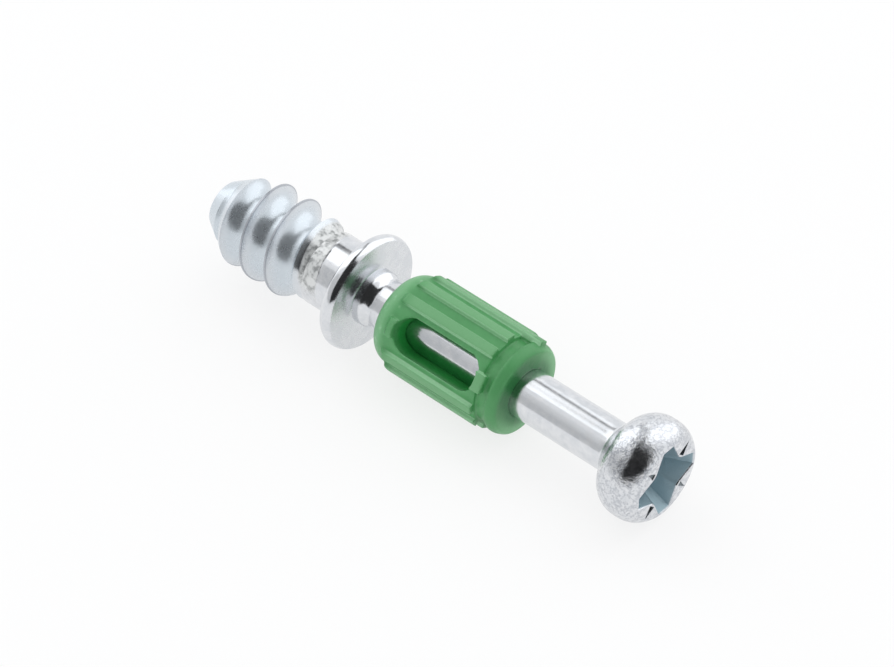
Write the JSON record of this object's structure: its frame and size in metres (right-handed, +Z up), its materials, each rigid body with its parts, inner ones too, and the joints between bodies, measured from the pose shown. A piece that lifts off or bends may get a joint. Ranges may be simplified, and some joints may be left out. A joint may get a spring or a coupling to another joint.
{
  "type": "cam lock bolt",
  "caption": "Connecting bolt for cam furniture fittings: coarse thread, stop collar, thin shank with a ribbed plastic guide sleeve, and a round head with a cross recess.",
  "frame": {"origin": "on the surface the bolt lies on, under the middle of its length", "axes": "+X along the bolt towards its head, +Z up from the surface it lies on, +Y to the left seen from the thread end"},
  "size_m": [0.0364, 0.008, 0.008],
  "materials": {
    "zinc_plated_steel": "satin",
    "green_plastic": "satin"
  },
  "bodies": {
    "root": {"bolt": "zinc_plated_steel", "guide_sleeve": "green_plastic"}
  },
  "joints": []
}
